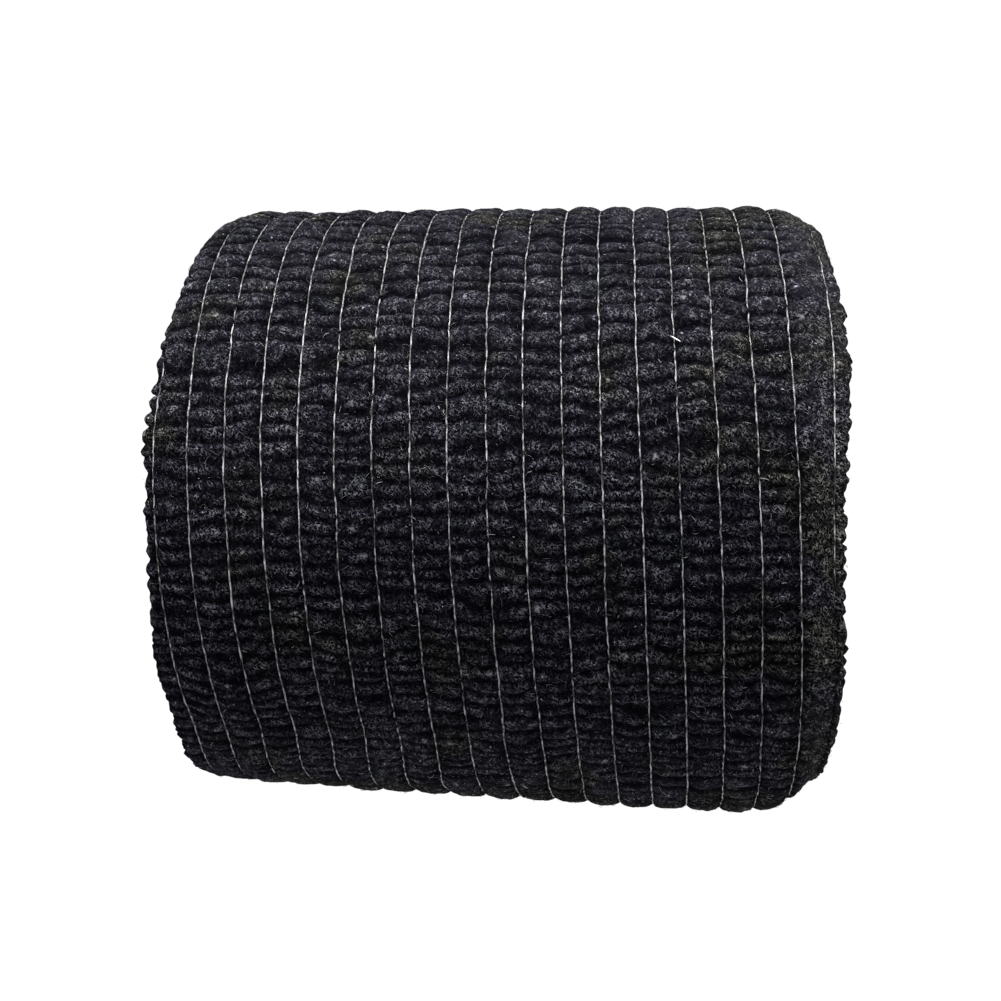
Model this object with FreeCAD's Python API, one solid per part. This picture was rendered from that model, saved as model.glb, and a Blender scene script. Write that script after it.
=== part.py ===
import FreeCAD, Part
import math
import os

# Self-adherent elastic grip tape, 5 cm wide, wound on a paper core.  Millimetres.
# Frame: X along the roll's axis, Y to the back, Z up.  The origin is on the core's
# axis at the middle of the tape's width, and the roll lies on its side.
# The tape is a laminate of two crinkled nonwoven plies with elastic threads between
# them.  It is wound as one continuous spiral, and its last stretch is the free end,
# which peels off the back of the roll.

# ---- driving dimensions -------------------------------------------------------
TAPE_WIDTH = 50.0
PLY_THICK = 0.25
THREAD_THICK = 0.20
THREAD_COUNT = 19
THREAD_PITCH = 2.70

CORE_BORE_R = 6.5
CORE_WALL = 1.2
TURNS = 17
TURN_PITCH = 1.04

REST_FLAT_DEPTH = 0.30
REST_BEND_R = 2.2

FREE_END_PARTS = 3
FREE_END_START = 105.0
FREE_END_PART_ANGLE = 24.0
FREE_END_GAP = 0.06

# ---- derived dimensions -------------------------------------------------------
TAPE_THICK = 2 * PLY_THICK + THREAD_THICK
CORE_R = CORE_BORE_R + CORE_WALL
FIRST_R = CORE_R + TAPE_THICK
LAST_R = FIRST_R + (TURNS - 1) * TURN_PITCH

# depth of each layer below the tape's outer face: (top of layer, bottom of layer)
OUTER_PLY = (0.0, PLY_THICK)
THREAD_LAYER = (PLY_THICK, PLY_THICK + THREAD_THICK)
INNER_PLY = (PLY_THICK + THREAD_THICK, TAPE_THICK)


def winding_point(radius, angle, centre_y=0.0):
    """A point of the winding: 0 degrees faces the front, 90 the top, 180 the back."""
    a = math.radians(angle)
    return FreeCAD.Vector(0, centre_y - radius * math.cos(a), radius * math.sin(a))


def arc(radius, start, end, centre_y=0.0):
    """A winding arc from one angle to the other."""
    middle = 0.5 * (start + end)
    points = [winding_point(radius, angle, centre_y) for angle in (start, middle, end)]
    return Part.Arc(*points).toShape()


def line(start, end):
    return Part.LineSegment(start, end).toShape()


def rest_flat_edges(radius, centre_y, depth):
    """The lower half of the outermost turn, pressed flat where the roll rests."""
    outer_radius = radius + depth
    bend_centre_r = outer_radius - REST_BEND_R
    bend_centre_z = outer_radius - REST_FLAT_DEPTH - REST_BEND_R
    spread = math.degrees(math.acos(bend_centre_z / bend_centre_r))
    bend_r = REST_BEND_R - depth
    half_flat = bend_centre_r * math.sin(math.radians(spread))
    flat_z = -(bend_centre_z + bend_r)

    def bend(side, start, end):
        centre = FreeCAD.Vector(0, centre_y + side * half_flat, -bend_centre_z)
        points = []
        for angle in (start, 0.5 * (start + end), end):
            a = math.radians(angle)
            points.append(centre + FreeCAD.Vector(0, bend_r * math.sin(a), -bend_r * math.cos(a)))
        return Part.Arc(*points).toShape()

    back_corner = FreeCAD.Vector(0, centre_y + half_flat, flat_z)
    front_corner = FreeCAD.Vector(0, centre_y - half_flat, flat_z)
    return [
        arc(radius, 180, 270 - spread, centre_y),
        bend(1, spread, 0),
        line(back_corner, front_corner),
        bend(-1, 0, -spread),
        arc(radius, 270 + spread, 360, centre_y),
    ]


def spiral_edges(depth, end_angle):
    """The face at this depth in the tape, from the core out to end_angle of the last turn."""
    edges = []
    for turn in range(TURNS - 1):
        radius = FIRST_R + turn * TURN_PITCH - depth
        lower_radius = radius + TURN_PITCH / 2
        lower_centre = -TURN_PITCH / 2
        edges.append(arc(radius, 0, 180))
        if turn < TURNS - 2:
            edges.append(arc(lower_radius, 180, 360, lower_centre))
        else:
            edges.extend(rest_flat_edges(lower_radius, lower_centre, depth))
    edges.append(arc(LAST_R - depth, 0, end_angle))
    return edges


def wound_layer(layer, end_angle, x_start, width):
    """One layer of the tape, wound from the core out, as a solid of this width."""
    top, bottom = layer
    outer = spiral_edges(top, end_angle)
    inner = spiral_edges(bottom, end_angle)
    start_cut = line(winding_point(FIRST_R - bottom, 0), winding_point(FIRST_R - top, 0))
    end_cut = line(winding_point(LAST_R - top, end_angle), winding_point(LAST_R - bottom, end_angle))
    return extruded(outer + [end_cut] + inner + [start_cut], x_start, width)


def free_end_layer(layer, start, end, x_start, width):
    """One layer of one stretch of the free end."""
    top, bottom = layer
    top_r = LAST_R - top
    bottom_r = LAST_R - bottom
    edges = [
        arc(top_r, start, end),
        line(winding_point(top_r, end), winding_point(bottom_r, end)),
        arc(bottom_r, start, end),
        line(winding_point(bottom_r, start), winding_point(top_r, start)),
    ]
    return extruded(edges, x_start, width)


def extruded(edges, x_start, width):
    wire = Part.Wire(Part.__sortEdges__(edges))
    solid = Part.Face(wire).extrude(FreeCAD.Vector(width, 0, 0))
    solid.translate(FreeCAD.Vector(x_start, 0, 0))
    return solid


def core_tube():
    along = FreeCAD.Vector(1, 0, 0)
    start = FreeCAD.Vector(-TAPE_WIDTH / 2, 0, 0)
    wall = Part.makeCylinder(CORE_R, TAPE_WIDTH, start, along)
    return wall.cut(Part.makeCylinder(CORE_BORE_R, TAPE_WIDTH, start, along))


def thread_starts():
    """The low X side of each elastic thread, centred across the tape."""
    first = -THREAD_PITCH * (THREAD_COUNT - 1) / 2 - THREAD_THICK / 2
    return [first + THREAD_PITCH * index for index in range(THREAD_COUNT)]


def free_end_spans():
    """Start and end angle of each stretch of the free end, a hair apart at each fold."""
    half_gap = math.degrees(FREE_END_GAP / 2 / LAST_R)
    spans = []
    for index in range(FREE_END_PARTS):
        start = FREE_END_START + FREE_END_PART_ANGLE * index
        spans.append((start + half_gap, start + FREE_END_PART_ANGLE - half_gap))
    return spans


def build():
    half_gap = math.degrees(FREE_END_GAP / 2 / LAST_R)
    wound_end = FREE_END_START - half_gap
    left = -TAPE_WIDTH / 2
    nodes = {"core_tube": core_tube()}
    nodes["wound_inner_ply"] = wound_layer(INNER_PLY, wound_end, left, TAPE_WIDTH)
    nodes["wound_outer_ply"] = wound_layer(OUTER_PLY, wound_end, left, TAPE_WIDTH)
    for index, x_start in enumerate(thread_starts(), 1):
        thread = wound_layer(THREAD_LAYER, wound_end, x_start, THREAD_THICK)
        nodes[f"elastic_thread_{index:02d}"] = thread
    for index, (start, end) in enumerate(free_end_spans(), 1):
        name = f"free_end_{index}"
        nodes[f"{name}_inner_ply"] = free_end_layer(INNER_PLY, start, end, left, TAPE_WIDTH)
        nodes[f"{name}_outer_ply"] = free_end_layer(OUTER_PLY, start, end, left, TAPE_WIDTH)
        threads = [
            free_end_layer(THREAD_LAYER, start, end, x_start, THREAD_THICK)
            for x_start in thread_starts()
        ]
        nodes[f"{name}_threads"] = Part.makeCompound(threads)
    return nodes


def tape_length():
    """Length of the relaxed tape, along its middle, from the core to the cut end."""
    middle = TAPE_THICK / 2
    end = FREE_END_START + FREE_END_PARTS * FREE_END_PART_ANGLE
    return sum(edge.Length for edge in spiral_edges(middle, end))


os.makedirs("parts", exist_ok=True)
for node, shape in build().items():
    if not shape.isValid():
        raise ValueError(f"{node} is not a valid shape")
    shape.exportStep(f"parts/{node}.step")
    print(f"{node}: {len(shape.Solids)} solid(s), {shape.Volume:.1f} mm3")
for part_index in range(FREE_END_PARTS):
    fold = winding_point(LAST_R, FREE_END_START + FREE_END_PART_ANGLE * part_index)
    print(f"fold {part_index + 1} at y {fold.y:.4f} z {fold.z:.4f}")
print(f"outer radius {LAST_R:.2f} mm, tape length {tape_length():.0f} mm")
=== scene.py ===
import math

import bpy
import numpy as np
from mathutils import Matrix, Vector


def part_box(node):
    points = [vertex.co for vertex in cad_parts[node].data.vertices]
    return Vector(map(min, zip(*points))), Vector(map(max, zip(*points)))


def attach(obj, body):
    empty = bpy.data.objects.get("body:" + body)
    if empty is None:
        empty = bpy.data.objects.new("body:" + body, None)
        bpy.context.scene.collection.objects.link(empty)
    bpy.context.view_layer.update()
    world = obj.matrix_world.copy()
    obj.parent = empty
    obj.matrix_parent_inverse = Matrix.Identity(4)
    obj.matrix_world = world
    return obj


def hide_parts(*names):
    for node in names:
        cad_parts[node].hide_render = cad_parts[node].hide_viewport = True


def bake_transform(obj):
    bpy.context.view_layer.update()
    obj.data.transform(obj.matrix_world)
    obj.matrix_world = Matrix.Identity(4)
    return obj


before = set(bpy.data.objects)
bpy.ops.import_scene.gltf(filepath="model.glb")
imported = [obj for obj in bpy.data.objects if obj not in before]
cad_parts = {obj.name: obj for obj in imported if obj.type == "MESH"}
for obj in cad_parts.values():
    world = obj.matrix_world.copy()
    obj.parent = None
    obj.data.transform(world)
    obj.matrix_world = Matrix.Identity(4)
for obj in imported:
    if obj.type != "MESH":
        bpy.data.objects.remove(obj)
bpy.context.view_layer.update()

# All sizes below are in millimetres and degrees.  MM turns them into the scene's metres.
MM = 0.001

# ---- the roll's driving sizes -------------------------------------------------
TURNS = 17
PLY_THICK = 0.25
TAPE_THICK = 0.70
CORE_WALL = 1.2

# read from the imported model
THREAD_NODES = sorted(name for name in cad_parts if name.startswith("elastic_thread_"))
THREAD_X = np.array([sum(corner.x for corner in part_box(name)) / 2 / MM for name in THREAD_NODES])
THREADS = len(THREAD_X)
LAST_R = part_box("wound_outer_ply")[1].z / MM
CORE_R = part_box("core_tube")[1].z / MM
BORE_R = CORE_R - CORE_WALL
HALF_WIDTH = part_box("wound_outer_ply")[1].x / MM
FIRST_R = CORE_R + TAPE_THICK
TURN_PITCH = (LAST_R - FIRST_R) / (TURNS - 1)
REST_FLAT_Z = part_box("wound_outer_ply")[0].z / MM

# ---- winding angles: a whole turn is 360, and 0 faces the front ----------------
LAST_TURN = 360.0 * (TURNS - 1)
FREE_END_CUTS = (96.0, 117.0, 141.0, 177.0)
FREE_END_ROOT = LAST_TURN + FREE_END_CUTS[0]
FOLDS = (105.0, 129.0, 153.0)
TURN_SEAM = FREE_END_ROOT - 180.0
TURN_START = FREE_END_ROOT - 360.0

# ---- crepe relief -------------------------------------------------------------
COLUMN_PUFF = 0.40
VALLEY_DEPTH = 0.28
RIDGE_SPACING = 1.24
RIDGE_HEIGHT = 0.35
COARSE_RIDGES = 6
LUMP_HEIGHT = 0.05
EDGE_STUB = 0.12
EDGE_BEAD = 0.58
FINE_STEP = 0.2
HIDDEN_STEP = 0.34
COLUMN_CELLS = 12
MARGIN_CELLS = 5
THREAD_R = 0.076
THREAD_STEP = 0.25
HIDDEN_THREAD_STEP = 1.1
FIBRES_PER_MM = 85
SCRAP_ANGLE = 43.9
SCRAP_THREAD = 15

VIEW_ELEVATION = 15.0


# ---- repeatable noise ---------------------------------------------------------
def lattice(i, j, seed):
    """A fixed random number from -1 to 1 for each whole-number cell."""
    n = (i * 374761393 + j * 668265263 + seed * 1442695041) & 0xFFFFFFFF
    n = ((n ^ (n >> 13)) * 1274126177) & 0xFFFFFFFF
    n = n ^ (n >> 16)
    return (n & 0xFFFF) / 32767.5 - 1.0


def noise(u, v, seed):
    """Smooth noise from -1 to 1 with cells one unit wide."""
    u, v = np.broadcast_arrays(np.asarray(u, float), np.asarray(v, float))
    i = np.floor(u).astype(np.int64)
    j = np.floor(v).astype(np.int64)
    a = u - i
    b = v - j
    a = a * a * (3 - 2 * a)
    b = b * b * (3 - 2 * b)
    low = lattice(i, j, seed) * (1 - a) + lattice(i + 1, j, seed) * a
    high = lattice(i, j + 1, seed) * (1 - a) + lattice(i + 1, j + 1, seed) * a
    return low * (1 - b) + high * b


def smooth(x, low, high):
    """Rises gently from 0 at low to 1 at high."""
    t = np.clip((x - low) / (high - low), 0, 1)
    return t * t * (3 - 2 * t)


def bump_at(x, centre, reach):
    """1 at the centre, and near 0 past twice the reach."""
    return np.exp(-((x - centre) / reach) ** 2)


# ---- the winding --------------------------------------------------------------
def winding(angle, lift):
    """y and z at a total winding angle, lifted off the tape's outer face."""
    turn = np.floor(angle / 360.0)
    a = np.radians(angle - 360.0 * turn)
    lower = (a > math.pi).astype(float)
    radius = FIRST_R + turn * TURN_PITCH + lower * TURN_PITCH / 2 + lift
    y = -lower * TURN_PITCH / 2 - radius * np.cos(a)
    z = radius * np.sin(a)
    return y, z


def share_out(angle):
    """How far out a turn lies: 0 at the core and 1 at the last turn."""
    return np.clip(angle / LAST_TURN, 0, 1)


def local_angle(angle):
    """The angle within its turn: 0 faces the front, 90 up, -90 down and 180 back."""
    return (angle + 180.0) % 360.0 - 180.0


def press_flat(z):
    """The outermost turn can't go below the surface that the roll rests on."""
    softened = 0.2
    start = REST_FLAT_Z + softened
    return np.where(z < start, REST_FLAT_Z + softened * np.exp((z - REST_FLAT_Z - softened) / softened), z)


def skew(angle, v):
    """Sideways lean of the turns: the roll was squeezed a little out of square.
    Its lower left flares out, and its last column is stretched at the upper right."""
    a = np.radians(angle - VIEW_ELEVATION)
    local = local_angle(angle)
    wander = 0.16 * noise(angle / 150.0, 0.5, 31)
    behind = smooth(local, -178.0, -130.0)
    flare = -1.15 * smooth(-local, 28.0, 56.0) * behind * smooth(-v, -4.0, 14.0)
    wide = 0.92 * smooth(local, 10.0, 50.0) * smooth(-local, -110.0, -76.0)
    narrow = 0.30 + 0.40 * smooth(-local, 18.0, 40.0) * behind
    stretch = smooth(v, 21.6, 24.3) * (wide - narrow)
    return (-1.15 * np.sin(a) + flare + stretch) * share_out(angle) + wander


def along(angle):
    """Length along the tape's outer face from the core, in millimetres."""
    a = np.radians(angle)
    return FIRST_R * a + TURN_PITCH * a * a / (4 * math.pi)


def angle_at(u):
    """The winding angle at a length along the tape: the inverse of along."""
    half = FIRST_R * 2 * math.pi / TURN_PITCH
    return np.degrees(np.sqrt(half * half + u * 4 * math.pi / TURN_PITCH) - half)


def evenly_spaced(start, end, step):
    """Winding angles from start to end, evenly spaced along the tape."""
    first, last = along(start), along(end)
    return angle_at(np.linspace(first, last, max(int(round((last - first) / step)), 2) + 1))


def roll_over(angle, v):
    """How the tape's edges round down at the roll's ends: drop, pull inwards and tilt in radians."""
    local = local_angle(angle)
    top = smooth(local, 18.0, 78.0) * smooth(-local, -178.0, -135.0)
    bottom = smooth(-local, 15.0, 65.0) * smooth(local, -178.0, -135.0)
    drop, pull, tilt = 0.0, 0.0, 0.0
    tucked = smooth(local, 22.0, 46.0) * smooth(-local, -178.0, -135.0)
    left = (-1, 20.4, 12.0 + 46.0 * top)
    left_margin = (-1, 23.7, 78.0 * tucked)
    right = (1, 21.4 - 3.4 * bottom, 20.0 + 23.0 * top + 40.0 * bottom)
    for side, start, slope in (left, left_margin, right):
        span = HALF_WIDTH - start
        bend = np.maximum(np.radians(slope) * share_out(angle), 1e-3) / span
        reach = np.clip(side * v - start, 0, None)
        drop = drop + (1 - np.cos(bend * reach)) / bend
        pull = pull + side * (reach - np.sin(bend * reach) / bend)
        tilt = tilt + side * bend * reach
    return drop, pull, tilt


def out_of_round(angle, v):
    """Unevenness of a soft roll: it bulges low at the right and is slimmer low at the left."""
    local = local_angle(angle)
    low = bump_at(local, -62.0, 34.0)
    bulge = low * (0.80 * smooth(v, -12.0, 15.0) - 0.35 * smooth(-v, 8.0, 20.0))
    slow = 0.10 * noise(angle / 55.0, v / 14.0, 21) + 0.06 * noise(angle / 23.0, v / 6.0, 22)
    return (bulge + slow) * share_out(angle)


def placed(angle, v, lift):
    """3-D points of the winding, lifted along the tape's own normal."""
    drop, pull, tilt = roll_over(angle, v)
    y, z = winding(angle, lift * np.cos(tilt) - drop + out_of_round(angle, v))
    resting = (angle > LAST_TURN - 180) & (angle < LAST_TURN)
    z = np.where(resting, press_flat(z), z)
    x = v - pull + lift * np.sin(tilt) + skew(angle, v)
    return np.stack(np.broadcast_arrays(x, y, z), -1)


# ---- crepe relief -------------------------------------------------------------
def thread_wobble(u, index):
    """How far a thread strays sideways from its straight line."""
    slow = noise(u / 3.1, index * 7.3, 11)
    quick = noise(u / 0.8, index * 5.7, 12)
    return 0.07 * slow + 0.035 * quick


def ridge_phase(u, v, column):
    """Where along its ridge and furrow each spot is.  The ridges are coarser and straighter over the
    top of the roll."""
    over_top = smooth(local_angle(angle_at(u)), 20.0, 65.0)
    shift = (0.66 - 0.26 * over_top) * noise(u / 3.3, v / 5.0, 1)
    shift = shift + (0.40 - 0.14 * over_top) * noise(u / 1.9, column * 0.43, 2)
    shift = shift + 0.24 * noise(u / 1.1, v / 1.2, 3)
    shift = shift + 0.10 * noise(u / 0.5, v / 0.42, 24)
    shift = shift + 0.25 * noise(u / 9.0, column * 3.7, 4)
    shift = shift - COARSE_RIDGES * RIDGE_SPACING * smooth(local_angle(angle_at(u)), 15.0, 105.0)
    return 2 * math.pi * (u + shift) / RIDGE_SPACING


def edge_line(u, side):
    """The tape's ragged edge, -1 at the left and 1 at the right: a bead at each ridge, notched between.
    The notches are deepest high on the left and shallowest low on the left."""
    local = local_angle(angle_at(u))
    column = 0 if side < 0 else THREADS
    ridge = np.abs(np.sin(ridge_phase(u, side * 24.6, column) / 2)) ** 0.6
    if side < 0:
        wide = smooth(-local, -12.0, 28.0) * smooth(local, -178.0, -130.0)
    else:
        wide = 0.62 * smooth(local, 8.0, 42.0) * smooth(-local, -178.0, -130.0)
    notch = 0.85 - 0.60 * smooth(-local, -45.0, -5.0) if side < 0 else 0.42
    bead = EDGE_BEAD * (1 + 0.34 * noise(u / 1.7, side * 9.1, 14)) * (1 - notch * (1 - ridge))
    rough = 0.13 * noise(u / 0.37, side * 3.3, 15) + 0.12 * noise(u / 0.85, side * 5.9, 16)
    last_thread = THREAD_X[0] if side < 0 else THREAD_X[-1]
    return last_thread + side * (EDGE_STUB + bead + rough + 1.05 * wide)


def thread_line(u, index):
    """Where thread number index runs.  0 and one past the last stand for the tape's edges."""
    index = np.asarray(index)
    near = np.clip(index, 1, THREADS)
    line = THREAD_X[near - 1] + thread_wobble(u, near)
    line = np.where(index < 1, edge_line(u, -1), line)
    return np.where(index > THREADS, edge_line(u, 1), line)


def column_dome(column, across):
    """Puff across a column: columns rise between two threads, and the margins end in a round edge."""
    place = np.where(column == 0, 0.07 + 0.93 * across, np.where(column == THREADS, 0.93 * across, across))
    return np.clip(1 - np.abs(2 * place - 1) ** 2.6, 0, 1) ** 0.62


def closed_over(u, v):
    """Fluff that has closed over the last thread, low on the right."""
    local = local_angle(angle_at(u))
    return 0.34 * smooth(-local, -6.0, 10.0) * smooth(local, -120.0, -90.0) * bump_at(v, THREAD_X[-1], 0.55)


def relief(u, v, column, across):
    """Height of the crepe above the valley along a thread, and how open each spot is: 0 deep in a
    furrow, up to 1 on a ridge and up to 1.5 on the fluff of the right margin."""
    dome = column_dome(column, across)
    ridge = np.abs(np.sin(ridge_phase(u, v, column) / 2)) ** 1.05
    strength = 0.80 + 0.45 * noise(u / 1.7, v / 2.4, 5) + 0.22 * noise(u / 0.8, v / 0.9, 6)
    strength = np.clip(strength, 0.10, 1.35)
    fluffy = smooth(v, 21.6, 23.0)
    worn = bump_at(local_angle(angle_at(u)), 0.0, 30.0)
    strength = strength * (1 - 0.30 * fluffy) * (1 - 0.34 * worn)
    puff = COLUMN_PUFF * (0.92 + 0.22 * noise(u / 4.0, column * 1.9, 7)) * dome
    crease = RIDGE_HEIGHT * strength * (ridge - 0.62) * (0.34 + 0.66 * dome)
    lumps = noise(u / 0.52, v / 0.66, 8) + 0.8 * noise(u / 0.26, v / 0.31, 9)
    lumps = lumps + fluffy * 1.2 * noise(u / 0.9, v / 0.8, 10)
    height = puff + crease + LUMP_HEIGHT * lumps * (0.45 + 0.55 * dome) + closed_over(u, v)
    openness = ridge * np.clip(strength, 0.5, 1.0) * (0.35 + 0.65 * dome) + 0.48 * fluffy
    return height, openness


def surface_lift(u, v):
    """Lift of the crinkled face anywhere on the tape."""
    column = np.clip(np.searchsorted(THREAD_X, v), 0, THREADS)
    low = thread_line(u, column)
    high = thread_line(u, column + 1)
    across = np.clip((v - low) / (high - low), 0, 1)
    height, openness = relief(u, v, column, across)
    return height - VALLEY_DEPTH, openness


# ---- meshes -------------------------------------------------------------------
class Surface:
    """Gathers points and faces with their two UV layers and openness, and makes one object of them."""

    def __init__(self):
        self.points, self.faces, self.cloth, self.bake, self.openness = [], [], [], [], []
        self.count = 0

    def add(self, points, groups, cloth, openness):
        """groups are pairs of faces and their bake places.  cloth and openness are per point,
        and a bake place is per point or per face corner."""
        points = points.reshape(-1, 3)
        cloth = cloth.reshape(-1, 2)
        self.points.append(points)
        for faces, bake in groups:
            self.faces += (faces + self.count).tolist()
            self.cloth.append(cloth[faces].reshape(-1, 2))
            corners = bake if bake.shape[:-1] == faces.shape else bake.reshape(-1, 2)[faces]
            self.bake.append(corners.reshape(-1, 2))
        self.openness.append(np.broadcast_to(openness, points.shape[:1]))
        self.count += len(points)

    def build(self, name, material):
        mesh = bpy.data.meshes.new(name)
        mesh.from_pydata((np.concatenate(self.points) * MM).tolist(), [], self.faces)
        for layer_name, corners in (("cloth", self.cloth), ("OFBake", self.bake)):
            layer = mesh.uv_layers.new(name=layer_name)
            layer.data.foreach_set("uv", np.concatenate(corners).astype(np.float32).ravel())
        layer = mesh.attributes.new("openness", "FLOAT", "POINT")
        layer.data.foreach_set("value", np.concatenate(self.openness).astype(np.float32))
        mesh.polygons.foreach_set("use_smooth", np.ones(len(mesh.polygons), bool))
        mesh.materials.append(material)
        mesh.update()
        obj = bpy.data.objects.new(name, mesh)
        bpy.context.scene.collection.objects.link(obj)
        return obj


def tube_faces(rows, around):
    """Quads of a tube of rows of points, around points in each row."""
    i = np.arange(rows - 1)[:, None]
    j = np.arange(around)[None, :]
    after = (j + 1) % around
    here, below = i * around, (i + 1) * around
    return np.stack([here + j, below + j, below + after, here + after], -1).reshape(-1, 4)


def strip_bake(rows, around, strips):
    """Bake layout of a long tube: its length is folded into strips that lie side by side."""
    i = np.arange(rows - 1)[:, None]
    per_strip = -(-(rows - 1) // strips)
    strip, step = i // per_strip, i % per_strip
    j = np.arange(around)[None, :]
    left = (strip + 0.04 + 0.92 * j / around) / strips
    right = (strip + 0.04 + 0.92 * (j + 1) / around) / strips
    low = np.broadcast_to(0.002 + 0.996 * step / per_strip, left.shape)
    high = np.broadcast_to(0.002 + 0.996 * (step + 1) / per_strip, left.shape)
    corners = [np.stack(pair, -1) for pair in ((left, low), (left, high), (right, high), (right, low))]
    return np.stack(corners, -2).reshape(-1, 4, 2)


def back_lines(width):
    """Which of the face's grid lines the smooth back follows: close together at the rounded edges."""
    near_edge = [0, 3, 6, 10, 14, 19, 25, 33]
    middle = np.linspace(near_edge[-1], width - 1 - near_edge[-1], 6).astype(int)[1:-1]
    far_edge = [width - 1 - line for line in near_edge]
    return np.array(far_edge + middle[::-1].tolist() + near_edge[::-1])


def end_caps(rows, width, back):
    """Triangles that close both ends of a band.  Its face has width points, and back lists the face's
    lines that its back follows."""
    around = width + len(back)
    triangles = []
    behind = around - 1
    for j in range(width - 1):
        triangles.append((j, j + 1, behind))
        while behind > width and back[behind - 1 - width] <= j + 1:
            triangles.append((j + 1, behind - 1, behind))
            behind -= 1
    near = np.array(triangles)
    far = near[:, ::-1] + (rows - 1) * around
    return np.concatenate([near, far])


def face_columns():
    """Column index and place across it for each grid line over the tape's width."""
    columns, places = [], []
    for column in range(THREADS + 1):
        cells = MARGIN_CELLS if column in (0, THREADS) else COLUMN_CELLS
        steps = np.arange(cells) / cells
        if cells == COLUMN_CELLS:
            steps = 0.225 + 0.55 * steps - 0.275 * np.cos(np.pi * steps) + 0.05
            steps[0] = 0.0
        columns += [column] * cells
        places += list(steps)
    return np.array(columns + [THREADS]), np.array(places + [1.0])


def face_grid(angles, fray=0.0):
    """Length along the tape, place across it and openness over the crinkled face.
    fray moves the last few millimetres of rows, for a cut end."""
    columns, places = face_columns()
    u = np.repeat(along(angles)[:, None], len(columns), 1)
    u = u + fray * smooth(u, u[-1, 0] - 4.0, u[-1, 0])
    low = thread_line(u, columns[None, :])
    high = thread_line(u, columns[None, :] + 1)
    v = low + (high - low) * places
    height, openness = relief(u, v, columns[None, :], places[None, :])
    return u, v, height, openness


def band(name, angles, material, face_lift, back_lift, fray=0.0, outward=True):
    """A closed stretch of one ply.  Its crinkled face looks outward, or inward for an inner ply."""
    u, v, height, openness = face_grid(angles, fray)
    rows, width = u.shape
    back = back_lines(width)
    face_lifts = face_lift(height)
    back_lifts = back_lift(face_lifts[:, back])
    all_u = np.concatenate([u, u[:, back]], 1)
    all_v = np.concatenate([v, v[:, back]], 1)
    lifts = np.concatenate([face_lifts, back_lifts], 1)
    # The back gets less openness, so the crepe material colours it darker and with fewer fibres.
    opened = np.concatenate([openness, openness[:, back] * 0.3], 1)
    around = width + len(back)
    points = placed(angle_at(all_u), all_v, lifts)
    across = np.concatenate([np.linspace(0.005, 0.90, width), np.linspace(0.905, 0.995, len(back))])
    down = np.linspace(0.005, 0.995, rows)
    bake = np.stack(np.broadcast_arrays(across[None, :], down[:, None]), -1)
    faces = tube_faces(rows, around)
    caps = end_caps(rows, width, back)
    if not outward:
        faces, caps = faces[:, ::-1], caps[:, ::-1]
    cloth = np.stack([all_u, all_v], -1)
    surface = Surface()
    surface.add(points, [(faces, bake), (caps, bake)], cloth, opened.reshape(-1))
    return surface.build(name, material)


def ribbon(name, start, end, material, face_lift, back_lift):
    """A long ply whose faces are hidden between turns, so that only its edges need fine points."""
    bake_strips = 26
    angles = evenly_spaced(start, end, HIDDEN_STEP)
    u = along(angles)[:, None]
    insets = np.array([0.0, 0.28, 0.75, 1.7, 4.6])
    left = edge_line(u, -1) + insets[None, :]
    right = edge_line(u, 1) - insets[None, ::-1]
    v = np.concatenate([left, np.zeros_like(u), right], 1)
    u = np.broadcast_to(u, v.shape)
    lifts, openness = surface_lift(u, v)
    back = [10, 9, 7, 3, 1, 0]
    edge = np.array([1.0, 0.4, 0, 0, 0.4, 1.0])
    all_u = np.concatenate([u, u[:, back]], 1)
    all_v = np.concatenate([v, v[:, back]], 1)
    all_lifts = np.concatenate([face_lift(lifts), back_lift(lifts[:, back], edge)], 1)
    # The back gets less openness, so the crepe material colours it darker and with fewer fibres.
    opened = np.concatenate([openness, openness[:, back] * 0.5], 1)
    rows, around = all_v.shape
    points = placed(angle_at(all_u), all_v, all_lifts)
    surface = Surface()
    cloth = np.stack([all_u, all_v], -1)
    faces = tube_faces(rows, around)
    caps = end_caps(rows, around - len(back), back)
    cap_bake = np.full((len(caps), 3, 2), 0.5)
    groups = [(faces, strip_bake(rows, around, bake_strips)), (caps, cap_bake)]
    surface.add(points, groups, cloth, opened.reshape(-1))
    return surface.build(name, material)


scene = bpy.context.scene


# ---- materials ----------------------------------------------------------------
class Nodes:
    """A small helper that adds shader nodes and links them."""

    def __init__(self, material):
        self.tree = material.node_tree

    def add(self, kind, inputs=None, **settings):
        node = self.tree.nodes.new(kind)
        for key, value in settings.items():
            setattr(node, key, value)
        for key, value in (inputs or {}).items():
            self.put(node.inputs[key], value)
        return node

    def put(self, socket, value):
        if isinstance(value, bpy.types.NodeSocket):
            self.tree.links.new(value, socket)
        else:
            socket.default_value = value

    def math(self, operation, a, b=0.0):
        return self.add("ShaderNodeMath", {0: a, 1: b}, operation=operation).outputs[0]

    def spread(self, value, low, high, to_low=0.0, to_high=1.0):
        inputs = {"Value": value, "From Min": low, "From Max": high, "To Min": to_low, "To Max": to_high}
        return self.add("ShaderNodeMapRange", inputs, clamp=True).outputs[0]

    def mix(self, factor, a, b):
        return self.add("ShaderNodeMix", {0: factor, 6: a, 7: b}, data_type="RGBA").outputs[2]

    def noise(self, vector, scale, detail=2.0, roughness=0.5):
        inputs = {"Vector": vector, "Scale": scale, "Detail": detail, "Roughness": roughness}
        return self.add("ShaderNodeTexNoise", inputs, noise_dimensions="2D").outputs[0]

    def moved(self, vector, shift=0.0, turn=0.0, scale=(1, 1, 1)):
        inputs = {"Vector": vector, "Location": (shift, shift * 0.7, 0),
                  "Rotation": (0, 0, math.radians(turn)), "Scale": scale}
        return self.add("ShaderNodeMapping", inputs).outputs[0]


def new_material(name):
    material = bpy.data.materials.new(name)
    material.use_nodes = True
    return material, Nodes(material), material.node_tree.nodes["Principled BSDF"]


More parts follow.
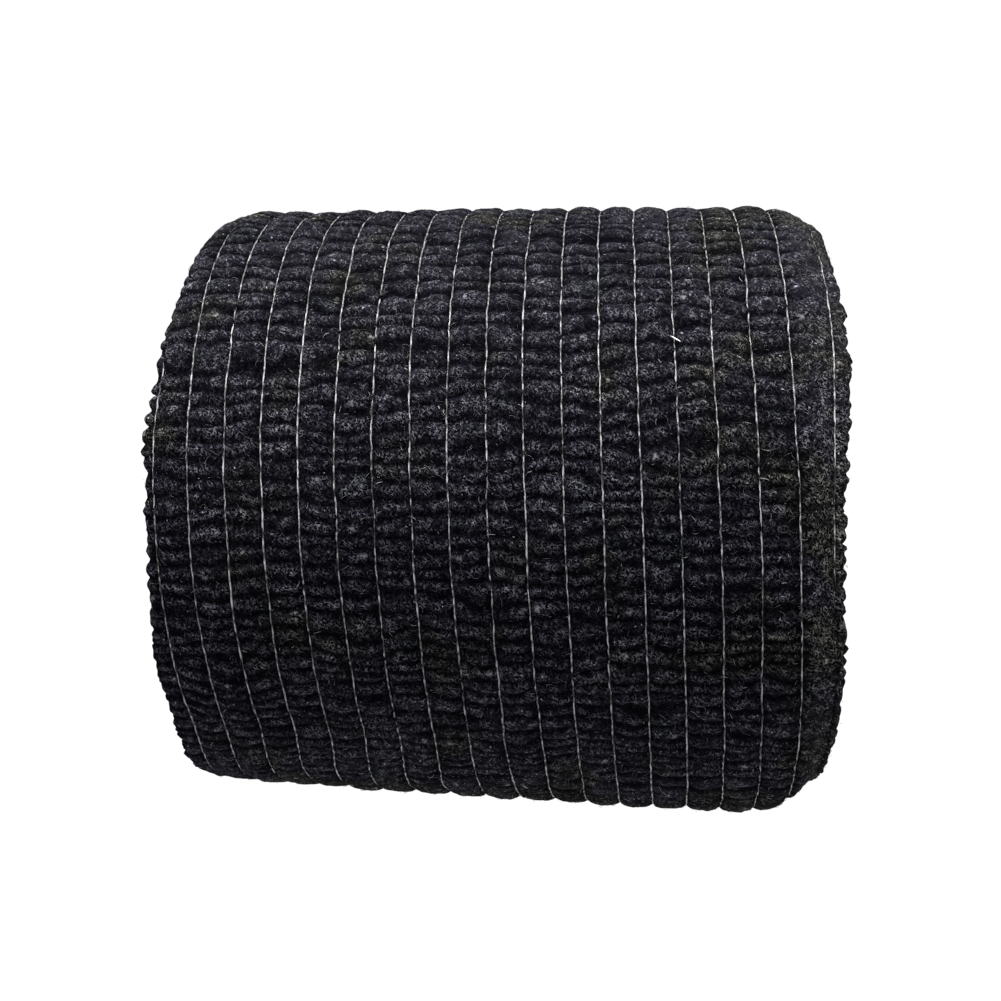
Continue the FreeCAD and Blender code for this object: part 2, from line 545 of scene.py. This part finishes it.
def cloth_coordinates(nodes):
    return nodes.add("ShaderNodeUVMap", uv_map="cloth").outputs[0]


def curled_fibres(nodes, cloth, scale, width, shift, turn, low):
    """Thin curly lines where a smooth noise crosses its middle, broken up into short fibres."""
    value = nodes.noise(nodes.moved(cloth, shift, turn, (1.0, 0.7, 1)), scale, 0.8)
    line = nodes.spread(nodes.math("ABSOLUTE", nodes.math("SUBTRACT", value, 0.5)), 0.0, width, 1.0, 0.0)
    breaks = nodes.spread(nodes.noise(nodes.moved(cloth, shift * 1.7), 4.6, 1.0), low, low + 0.12)
    return nodes.math("MULTIPLY", line, breaks)


def straight_fibres(nodes, cloth, shift, turn, low):
    """Very short straight fibres, all turned one way."""
    value = nodes.noise(nodes.moved(nodes.moved(cloth, 0.0, turn), shift, 0.0, (2.8, 9.6, 1)), 1.0, 0.4)
    return nodes.spread(value, low, low + 0.06)


def glue_spots(nodes, cloth):
    """Scattered pale tufts, where glue holds a knot of fibres: about one in seven cells has one."""
    frayed = nodes.noise(cloth, 5.0, 1.0)
    cells = nodes.add("ShaderNodeTexVoronoi", {"Vector": cloth, "Scale": 0.55}, voronoi_dimensions="2D")
    chosen = nodes.add("ShaderNodeSeparateColor", {"Color": cells.outputs["Color"]}).outputs["Red"]
    reach = nodes.math("ADD", cells.outputs["Distance"], nodes.spread(frayed, 0.2, 0.8, -0.10, 0.10))
    spot = nodes.spread(reach, 0.03, 0.13, 1.0, 0.0)
    return nodes.math("MULTIPLY", spot, nodes.spread(chosen, 0.84, 0.90))


def faded_dye(nodes, cloth):
    """Tint of the black: violet, with olive patches that are commoner near the right edge, at the top
    and at the bottom, and a few teal ones."""
    place = nodes.add("ShaderNodeSeparateXYZ", {"Vector": cloth_coordinates(nodes)}).outputs
    near_edge = nodes.spread(place["Y"], 15.0, 24.0, 0.0, 0.16)
    resting, below, over, top = (float(along(LAST_TURN + local)) for local in (-60.0, -42.0, 62.0, 88.0))
    near_bottom = nodes.spread(place["X"], resting, below, 0.24, 0.0)
    near_top = nodes.spread(place["X"], over, top, 0.0, 0.08)
    patchy = nodes.math("ADD", nodes.noise(cloth, 0.15, 3.0), near_edge)
    patchy = nodes.math("ADD", patchy, nodes.math("ADD", near_bottom, near_top))
    olive = nodes.spread(patchy, 0.56, 0.72)
    teal = nodes.spread(nodes.noise(nodes.moved(cloth, 13.0), 0.21, 3.0), 0.64, 0.76)
    tint = nodes.mix(olive, (0.98, 0.97, 1.13, 1), (1.04, 1.03, 0.88, 1))
    return nodes.mix(teal, tint, (0.92, 1.02, 1.06, 1))


def contrast_along_turn(nodes):
    """1 on the front of the last turn, falling to 0 over its top and below its front, where the crepe keeps
    less fibre contrast.
    """
    length_place = nodes.add("ShaderNodeSeparateXYZ", {"Vector": cloth_coordinates(nodes)}).outputs["X"]
    below, front, over, top = (float(along(LAST_TURN + local)) for local in (-50.0, -8.0, 25.0, 75.0))
    rising = nodes.spread(length_place, below, front)
    falling = nodes.spread(length_place, over, top, 1.0, 0.0)
    return nodes.math("MULTIPLY", rising, falling)


def crepe_material(name, shift):
    """Black crinkled nonwoven: matted fibres, lighter where they catch light on the ridges, with painted
    shade deep in the furrows.
    """
    material, nodes, shader = new_material(name)
    cloth = nodes.moved(cloth_coordinates(nodes), shift)
    openness = nodes.add("ShaderNodeAttribute", attribute_name="openness").outputs["Fac"]

    matting = nodes.spread(nodes.noise(cloth, 3.4, 2.0, 0.6), 0.47, 0.70)
    body = nodes.mix(matting, (0.0017, 0.0017, 0.0028, 1), (0.0115, 0.0112, 0.0146, 1))

    fibres = curled_fibres(nodes, cloth, 3.0, 0.030, 3.1, 0, 0.54)
    fibres = nodes.math("MAXIMUM", fibres, curled_fibres(nodes, cloth, 4.3, 0.046, 17.7, 40, 0.55))
    for turn, offset, low in ((40, 5.3, 0.665), (-38, 21.9, 0.675), (72, 63.1, 0.67), (8, 37.7, 0.69)):
        fibres = nodes.math("MAXIMUM", fibres, straight_fibres(nodes, cloth, offset, turn, low))
    # Painted shade in part: fibres, glints and pale tufts fade out towards the depths of the furrows.
    exposed = nodes.spread(openness, 0.12, 0.70, 0.20, 1.0)
    patches = nodes.spread(nodes.noise(cloth, 1.3, 3.0), 0.38, 0.62, 0.12, 1.0)
    fibre_contrast = contrast_along_turn(nodes)
    # Less contrast over the top and below the front: the exposed colour is evened towards one grey and the
    # fibres are dimmed.
    evened = nodes.math("MULTIPLY", nodes.spread(fibre_contrast, 0.0, 1.0, 0.32, 0.0), exposed)
    body = nodes.mix(evened, body, (0.024, 0.0237, 0.0285, 1))
    fibre_share = nodes.math("MULTIPLY", nodes.math("MULTIPLY", fibres, patches), exposed)
    fibre_share = nodes.math("MULTIPLY", fibre_share, nodes.spread(fibre_contrast, 0.0, 1.0, 0.55, 1.0))
    body = nodes.mix(fibre_share, body, (0.136, 0.134, 0.144, 1))

    glints = nodes.spread(nodes.noise(nodes.moved(cloth, 9.4), 4.0, 1.0), 0.720, 0.78)
    clumps = nodes.spread(nodes.noise(nodes.moved(cloth, 29.4), 0.9, 0.0), 0.50, 0.66)
    glints = nodes.math("MULTIPLY", nodes.math("MULTIPLY", glints, clumps), exposed)
    body = nodes.mix(glints, body, (0.29, 0.29, 0.30, 1))
    glue = nodes.math("MULTIPLY", glue_spots(nodes, cloth), exposed)
    body = nodes.mix(glue, body, (0.18, 0.185, 0.185, 1))

    fluff = nodes.spread(openness, 0.95, 1.45, 0.0, 0.50)
    body = nodes.mix(fluff, body, (0.034, 0.034, 0.033, 1))
    # Painted shade: the colour darkens to near black deep in the furrows, by the openness attribute.
    furrow = nodes.spread(openness, 0.06, 0.55, 0.22, 1.0)
    shade = nodes.mix(furrow, (0.0009, 0.0009, 0.0017, 1), body)
    tinted = nodes.add("ShaderNodeMix", {0: 1.0, 6: shade, 7: faded_dye(nodes, cloth)},
                       data_type="RGBA", blend_type="MULTIPLY").outputs[2]
    nodes.put(shader.inputs["Base Color"], tinted)

    matted = nodes.noise(cloth, 4.6, 3.0, 0.7)
    height = nodes.math("ADD", matted, nodes.math("MULTIPLY", fibres, 0.5))
    bump = nodes.add("ShaderNodeBump", {"Height": height, "Strength": 1.0, "Distance": 0.00014})
    nodes.put(shader.inputs["Normal"], bump.outputs[0])
    shader.inputs["Roughness"].default_value = 0.7
    shader.inputs["Specular IOR Level"].default_value = 0.0
    shader.inputs["Sheen Weight"].default_value = 0.004
    shader.inputs["Sheen Roughness"].default_value = 0.4
    return material


def thread_material():
    """Light grey elastic, with black fibres stuck over it here and there.  It is duller over the top."""
    material, nodes, shader = new_material("elastic_thread_grey")
    cloth = cloth_coordinates(nodes)
    stretched = nodes.moved(cloth, 0.0, 0.0, (1.3, 5.0, 1))
    patches = nodes.spread(nodes.noise(stretched, 1.0, 2.0, 0.6), 0.43, 0.65)
    colour = nodes.mix(patches, (0.007, 0.007, 0.009, 1), (0.355, 0.357, 0.382, 1))
    place = nodes.add("ShaderNodeSeparateXYZ", {"Vector": cloth}).outputs["X"]
    over, top = (float(along(LAST_TURN + local)) for local in (40.0, 72.0))
    dulled = nodes.spread(place, over, top, 0.0, 0.36)
    colour = nodes.mix(dulled, colour, (0.05, 0.05, 0.055, 1))
    nodes.put(shader.inputs["Base Color"], colour)
    twist = nodes.noise(nodes.moved(cloth, 5.0, 0.0, (9.0, 14.0, 1)), 1.0, 2.0)
    bump = nodes.add("ShaderNodeBump", {"Height": twist, "Strength": 0.6, "Distance": 0.00003})
    nodes.put(shader.inputs["Normal"], bump.outputs[0])
    shader.inputs["Roughness"].default_value = 0.55
    return material


def fibre_material():
    """Loose fibres of the crepe: each has its own grey, from nearly black to a bright glint."""
    material, nodes, shader = new_material("loose_fibre")
    cloth = cloth_coordinates(nodes)
    whiteness = nodes.add("ShaderNodeSeparateXYZ", {"Vector": cloth}).outputs["Y"]
    grey = nodes.noise(cloth, 1.0, 0.0)
    shade = nodes.spread(grey, 0.30, 0.62)
    colour = nodes.mix(shade, (0.012, 0.012, 0.014, 1), (0.075, 0.075, 0.082, 1))
    colour = nodes.mix(nodes.spread(grey, 0.66, 0.74), colour, (0.26, 0.27, 0.28, 1))
    colour = nodes.mix(whiteness, colour, (0.66, 0.67, 0.64, 1))
    nodes.put(shader.inputs["Base Color"], colour)
    shader.inputs["Roughness"].default_value = 0.45
    return material


def core_material():
    """Grey-brown paperboard with short pressed fibres."""
    material, nodes, shader = new_material("core_paperboard")
    cloth = cloth_coordinates(nodes)
    clouds = nodes.spread(nodes.noise(cloth, 0.35, 4.0, 0.6), 0.3, 0.7)
    colour = nodes.mix(clouds, (0.34, 0.285, 0.215, 1), (0.46, 0.40, 0.315, 1))
    pressed = nodes.noise(nodes.moved(cloth, 2.0, 20.0, (1.0, 4.5, 1)), 1.4, 3.0, 0.65)
    colour = nodes.mix(nodes.spread(pressed, 0.60, 0.72), colour, (0.22, 0.18, 0.13, 1))
    colour = nodes.mix(nodes.spread(pressed, 0.40, 0.28), colour, (0.55, 0.50, 0.42, 1))
    openness = nodes.add("ShaderNodeAttribute", attribute_name="openness").outputs["Fac"]
    colour = nodes.mix(nodes.spread(openness, 0.0, 1.0, 0.45, 1.0), (0.13, 0.105, 0.08, 1), colour)
    nodes.put(shader.inputs["Base Color"], colour)
    bump = nodes.add("ShaderNodeBump", {"Height": pressed, "Strength": 0.5, "Distance": 0.00008})
    nodes.put(shader.inputs["Normal"], bump.outputs[0])
    shader.inputs["Roughness"].default_value = 0.85
    shader.inputs["Specular IOR Level"].default_value = 0.25
    return material


def stage_material():
    """White that stays white where the roll shades it."""
    material, nodes, shader = new_material("studio_white")
    shader.inputs["Base Color"].default_value = (0.02, 0.02, 0.02, 1)
    shader.inputs["Roughness"].default_value = 0.9
    shader.inputs["Specular IOR Level"].default_value = 0.0
    shader.inputs["Emission Color"].default_value = (1, 1, 1, 1)
    shader.inputs["Emission Strength"].default_value = 1.01
    return material


CREPE_OUTER = crepe_material("black_crepe_outer", 0.0)
CREPE_INNER = crepe_material("black_crepe_inner", 57.0)
THREAD = thread_material()
FIBRE = fibre_material()
BOARD = core_material()


# ---- pieces -------------------------------------------------------------------
def belongs(piece, body, node):
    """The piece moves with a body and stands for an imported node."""
    if body:
        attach(piece, body)
    if node:
        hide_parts(node)
    return piece


def outer_back(face):
    return np.minimum(face, -0.1) - PLY_THICK * 0.8


def inner_face(height):
    """The inner ply's face looks at the turn below, so its relief is turned over and kept shallow."""
    return -TAPE_THICK + 0.12 - 0.45 * np.clip(height, 0, 0.6)


def inner_back(face):
    return np.full_like(face, -TAPE_THICK + PLY_THICK + 0.02)


def last_turn():
    """The outside of the roll: the outer ply's last turn in two halves, with their loose fibres."""
    for name, start, end in (("outer_ply_front", TURN_SEAM, FREE_END_ROOT),
                             ("outer_ply_back", TURN_START, TURN_SEAM)):
        angles = evenly_spaced(start, end, FINE_STEP)
        piece = band(name, angles, CREPE_OUTER, lambda height: height - VALLEY_DEPTH, outer_back)
        belongs(piece, "roll", "wound_outer_ply")
        fuzz_name = name.replace("outer_ply", "loose_fibres")
        fuzz = loose_fibres(fuzz_name, start, end, white_scrap=name == "outer_ply_front")


def inner_turns():
    """The wound tape below the last turn, seen only at the roll's ends."""
    outer = ribbon("outer_ply_inner_turns", 0.0, TURN_START, CREPE_OUTER,
                   lambda lift: 0.5 * lift,
                   lambda lift, edge: np.minimum(0.5 * lift, -0.05) - PLY_THICK * 0.8 - 0.04 * edge)
    belongs(outer, "roll", "wound_outer_ply")
    inner = ribbon("inner_ply_all_turns", 0.0, FREE_END_ROOT, CREPE_INNER,
                   lambda lift: 0.25 * np.minimum(lift, 0.1) - TAPE_THICK + PLY_THICK + 0.02,
                   lambda lift, edge: -TAPE_THICK - 0.3 * np.clip(lift, -0.1, 0.3) + 0.04 * edge)
    belongs(inner, "roll", "wound_inner_ply")


def thread_tube(surface, index, start, end, step, sides, strips, loose=0.0):
    """One elastic thread, partly sunk into the valley between two columns."""
    angles = evenly_spaced(start, end, step)
    u = along(angles)
    line = thread_line(u, index)
    at_left, _ = relief(u, line, index - 1, 1.0)
    at_right, _ = relief(u, line, index, 0.0)
    valley = np.convolve(np.pad(0.5 * (at_left + at_right), 1, "edge"), np.ones(3) / 3, "valid")
    float_up = 0.035 + 0.03 * noise(u / 1.3, index * 2.9, 17)
    past_cut = smooth(u, u[-1] - loose, u[-1]) if loose else 0.0
    line = line + past_cut * 0.35 * noise(u / 0.9, index * 4.1, 18)
    lift = valley - VALLEY_DEPTH + float_up + past_cut * 0.3 * noise(u / 1.2, index * 1.3, 19)
    lift = lift - 1.5 * closed_over(u, line)
    turn = np.arange(sides) * 2 * math.pi / sides
    v = line[:, None] + THREAD_R * np.cos(turn)[None, :]
    lifts = lift[:, None] + THREAD_R * np.sin(turn)[None, :]
    rows = len(angles)
    points = placed(np.repeat(angles[:, None], sides, 1), v, lifts)
    cloth = np.stack([np.repeat(u[:, None], sides, 1), v], -1)
    faces = tube_faces(rows, sides)[:, ::-1]
    ends = [[j, j + 1, 0] for j in range(1, sides - 1)]
    near = [corners[::-1] for corners in ends]
    far = [[corner + (rows - 1) * sides for corner in corners] for corners in ends]
    caps = np.array(near + far)
    cap_bake = np.full((len(caps), 3, 2), 0.5)
    groups = [(faces, strip_bake(rows, sides, strips)[:, ::-1]), (caps, cap_bake)]
    surface.add(points, groups, cloth, 1.0)


def threads():
    """The wound elastic threads: fine on the last turn and coarse where turns hide them."""
    for index, node in enumerate(THREAD_NODES, 1):
        shown = Surface()
        thread_tube(shown, index, TURN_START, FREE_END_ROOT, THREAD_STEP, sides=6, strips=8)
        thread_tube(shown, index, 0.0, TURN_START, HIDDEN_THREAD_STEP, sides=4, strips=12)
        belongs(shown.build(node + "_yarn", THREAD), "roll", node)


def free_end():
    """The tape's last 36 mm, in three stretches, with a cut tip."""
    columns, _ = face_columns()
    grid_line = np.arange(len(columns))
    torn = 0.28 * noise(grid_line / 9.0, 0.5, 41) + 0.16 * noise(grid_line / 2.3, 0.5, 42)
    for number, fold in enumerate(FOLDS, 1):
        node = f"free_end_{number}"
        start, end = (LAST_TURN + cut for cut in FREE_END_CUTS[number - 1:number + 1])
        last = number == len(FOLDS)
        angles = evenly_spaced(start, end, FINE_STEP)
        fray = torn[None, :] if last else 0.0
        outer = band(node + "_outer_crepe", angles, CREPE_OUTER, lambda height: height - VALLEY_DEPTH,
                     outer_back, fray)
        inner = band(node + "_inner_crepe", angles, CREPE_INNER, inner_face, inner_back, fray,
                     outward=False)
        strands = Surface()
        for index in range(1, THREADS + 1):
            reach = 1.1 + 0.7 * float(noise(index * 0.77, 3.3, 43)) if last else 0.0
            tip = float(angle_at(along(end) + reach))
            thread_tube(strands, index, start, tip, THREAD_STEP, sides=6, strips=1, loose=reach)
        cords = strands.build(node + "_yarns", THREAD)
        for piece, part, slot in ((outer, "_outer_ply", "crepe_outer"),
                                  (inner, "_inner_ply", "crepe_inner"),
                                  (cords, "_threads", "elastic_thread")):
            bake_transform(piece)
            belongs(piece, None, node + part)


def loose_fibres(name, start, end, white_scrap):
    """Short curled fibres that stand out of the crepe's outer face.  The first one can be a straight
    white scrap that lies across a thread."""
    count = int(FIBRES_PER_MM * (along(end) - along(start)))
    random = np.random.default_rng(count)
    steps, sides = 5, 3
    u = random.uniform(along(start) + 1.5, along(end) - 1.5, count)
    v = random.uniform(-HALF_WIDTH - 0.1, HALF_WIDTH + 0.1, count)
    heading = random.uniform(0, 2 * math.pi, count)
    curl = random.normal(0, 1.5, count)
    length = 0.16 + 0.6 * random.random(count) ** 3
    rise = 0.02 + 0.10 * random.random(count) ** 2
    thick = random.uniform(0.010, 0.020, count)
    if white_scrap:
        u[0], v[0] = along(LAST_TURN + SCRAP_ANGLE), THREAD_X[SCRAP_THREAD - 1] - 0.50
        heading[0], curl[0], length[0] = math.radians(124), 0.0, 0.88
        thick[0] = 0.062
    t = np.linspace(0, 1, steps)
    bearing = heading[:, None] + curl[:, None] * t[None, :]
    stride = length[:, None] / (steps - 1)
    path_u = u[:, None] + np.cumsum(np.cos(bearing) * stride, 1)
    path_v = v[:, None] + np.cumsum(np.sin(bearing) * stride, 1)
    arch = rise[:, None] * np.sin(math.pi * (0.15 + 0.7 * t))[None, :] + 0.008
    lift = surface_lift(path_u, np.clip(path_v, -HALF_WIDTH, HALF_WIDTH))[0] + arch
    if white_scrap:
        lift[0] = lift[0].max() + thick[0]
    turn = np.arange(sides) * 2 * math.pi / sides
    taper = thick[:, None] * (1 - 0.75 * np.abs(2 * t - 1) ** 3)[None, :]
    side_u = -np.sin(bearing)[:, :, None] * (taper[:, :, None] * np.cos(turn))
    side_v = np.cos(bearing)[:, :, None] * (taper[:, :, None] * np.cos(turn))
    ring_u = path_u[:, :, None] + side_u
    ring_v = path_v[:, :, None] + side_v
    ring_lift = lift[:, :, None] + taper[:, :, None] * np.sin(turn)
    points = placed(angle_at(ring_u), ring_v, ring_lift).reshape(-1, 3)
    one = tube_faces(steps, sides)
    base = np.arange(count)[:, None, None] * steps * sides
    quads = (one[None] + base).reshape(-1, 4)
    tip = (steps - 1) * sides
    cap = np.array([[2, 1, 0], [tip, tip + 1, tip + 2]])
    caps = (cap[None] + base).reshape(-1, 3)
    grey = np.repeat(random.uniform(0, 400, count), steps * sides)
    whiteness = np.zeros_like(grey)
    if white_scrap:
        whiteness[:steps * sides] = 1.0
    cloth = np.stack([grey, whiteness], -1)
    cell = math.ceil(math.sqrt(count))
    number = np.repeat(np.arange(count), steps * sides)
    bake = np.stack([(number % cell + 0.5) / cell, (number // cell + 0.5) / cell], -1)
    surface = Surface()
    surface.add(points, [(quads, bake), (caps, bake)], cloth, 1.0)
    return belongs(surface.build(name, FIBRE), "roll", None)


def core():
    """A spiral-wound paper tube: one helical lap runs along both faces, and its ends show the layers."""
    around, lengths, layers = 96, 80, 10
    lap, lap_pitch, edge, ply_waves = 0.09, 62.0, 0.12, 7
    seam_turn = 0.996
    j = np.arange(around + 1) / around
    step_down = lap * j
    step_down[-1] = 0.0
    j_angle = np.minimum(j, seam_turn) * 2 * math.pi
    j_angle[-1] = 2 * math.pi
    along_tube = np.linspace(-HALF_WIDTH + edge, HALF_WIDTH - edge, lengths)
    x = np.concatenate([[-HALF_WIDTH], along_tube, [HALF_WIDTH]])
    outer_r = CORE_R - 0.05 - step_down[None, :] + np.zeros((len(x), 1))
    inner_r = BORE_R + 0.02 + step_down[None, ::-1] + np.zeros((len(x), 1))
    outer_r[[0, -1]] -= edge
    inner_r[[0, -1]] += edge
    across = np.linspace(0, 1, layers)[1:-1, None]
    ragged = 0.06 * np.sin(across * math.pi * ply_waves)
    right_r = outer_r[-1] + (inner_r[-1] - outer_r[-1]) * across
    left_r = inner_r[0] + (outer_r[0] - inner_r[0]) * across
    radii = np.concatenate([outer_r, right_r, inner_r[::-1], left_r])
    right_x = HALF_WIDTH - 0.03 + ragged[:, 0]
    left_x = -HALF_WIDTH + 0.03 - ragged[:, 0]
    rings_x = np.clip(np.concatenate([x, right_x, x[::-1], left_x]), -HALF_WIDTH, HALF_WIDTH)
    theta = j_angle[None, :] + 2 * math.pi / lap_pitch * rings_x[:, None]
    ring_lines = np.repeat(rings_x[:, None], around + 1, 1)
    points = np.stack([ring_lines, radii * np.cos(theta), radii * np.sin(theta)], -1)
    rows, columns = radii.shape
    unrolled = np.repeat(rings_x[:, None] + 3 * radii[:, :1], columns, 1)
    cloth = np.stack([unrolled, CORE_R * theta], -1)
    i = np.arange(rows)[:, None]
    k = np.arange(columns - 1)[None, :]
    after = (i + 1) % rows
    corners = [i * columns + k, i * columns + k + 1, after * columns + k + 1, after * columns + k]
    quads = np.stack(corners, -1).reshape(-1, 4)
    ring = np.arange(rows)
    down = (ring + 0.5) / rows
    over = np.linspace(0.01, 0.99, columns)
    bake = np.stack(np.broadcast_arrays(over[None, :], down[:, None]), -1)
    on_end = (ring >= len(x)) & (ring < len(x) + layers - 2)
    on_end |= ring >= rows - layers + 2
    openness = np.repeat(np.where(on_end, 0.55 + 0.3 * np.sin(ring * 2.6), 1.0), columns)
    surface = Surface()
    surface.add(points, [(quads, bake)], cloth, openness)
    return surface.build("core_paper_tube", BOARD)


# ---- camera, light and floor --------------------------------------------------
LENS = 51.4
CAMERA_DISTANCE = 124.3
CAMERA_X = 11.58
CAMERA_YAW = -6.07
CAMERA_PITCH = 0.11
CAMERA_ROLL = 0.78


def add_camera():
    """The camera looks at the roll's axis from near by, raised by VIEW_ELEVATION about that axis."""
    turns = (CAMERA_YAW, CAMERA_PITCH, CAMERA_ROLL, VIEW_ELEVATION)
    yaw, pitch, roll, rise = (math.radians(turn) for turn in turns)
    level = math.cos(pitch)
    forward = Vector((math.sin(yaw) * level, math.cos(yaw) * level, math.sin(pitch)))
    right = Vector((math.cos(yaw), -math.sin(yaw), 0))
    up = right.cross(forward)
    rolled_right = math.cos(roll) * right + math.sin(roll) * up
    rolled_up = -math.sin(roll) * right + math.cos(roll) * up
    raise_rig = Matrix.Rotation(-rise, 3, "X")
    place = raise_rig @ Vector((CAMERA_X, -CAMERA_DISTANCE, 0))
    axes = Matrix([raise_rig @ rolled_right, raise_rig @ rolled_up, raise_rig @ -forward]).transposed()
    data = bpy.data.cameras.new("camera")
    data.lens = LENS
    data.sensor_width = 36
    data.clip_start = 0.005
    camera = bpy.data.objects.new("camera", data)
    camera.matrix_world = Matrix.Translation(place * MM) @ axes.to_4x4()
    scene.collection.objects.link(camera)
    scene.camera = camera


def add_light(name, place, size, power):
    """A round soft light that faces the roll."""
    data = bpy.data.lights.new(name, "AREA")
    data.shape = "DISK"
    data.size = size
    data.energy = power
    data.color = (1.0, 0.995, 0.95)
    light = bpy.data.objects.new(name, data)
    facing = (-Vector(place)).to_track_quat("-Z", "Y").to_matrix().to_4x4()
    light.matrix_world = Matrix.Translation(place) @ facing
    scene.collection.objects.link(light)


def add_stage():
    """A pale floor that curves up into a backdrop."""
    floor_z = REST_FLAT_Z * MM
    bend, straight = 0.3, 0.5
    profile = [(-1.2, 0.0)]
    for step in range(13):
        a = math.radians(90 * step / 12)
        profile.append((straight + bend * math.sin(a), bend - bend * math.cos(a)))
    profile.append((straight + bend, 1.6))
    points = [(x, y, z + floor_z) for y, z in profile for x in (-1.6, 1.6)]
    faces = [(2 * i, 2 * i + 1, 2 * i + 3, 2 * i + 2) for i in range(len(profile) - 1)]
    mesh = bpy.data.meshes.new("floor")
    mesh.from_pydata(points, [], faces)
    mesh.materials.append(stage_material())
    for polygon in mesh.polygons:
        polygon.use_smooth = True
    floor = bpy.data.objects.new("floor", mesh)
    scene.collection.objects.link(floor)


def add_world():
    """Dim above and white near the horizon, like a studio with white walls."""
    world = bpy.data.worlds.new("studio")
    world.use_nodes = True
    nodes = Nodes(world)
    direction = nodes.add("ShaderNodeTexCoord").outputs["Generated"]
    height = nodes.add("ShaderNodeSeparateXYZ", {"Vector": direction}).outputs["Z"]
    background = world.node_tree.nodes["Background"]
    background.inputs["Color"].default_value = (1, 1, 1, 1)
    nodes.put(background.inputs["Strength"], nodes.spread(height, 0.14, 0.34, 1.01, 0.06))
    scene.world = world


add_camera()
add_world()
add_stage()
add_light("top_light", (-0.05, -0.07, 0.43), size=0.30, power=6.5)
last_turn()
inner_turns()
threads()
free_end()
belongs(core(), "roll", "core_tube")

scene.view_settings.view_transform = "Standard"
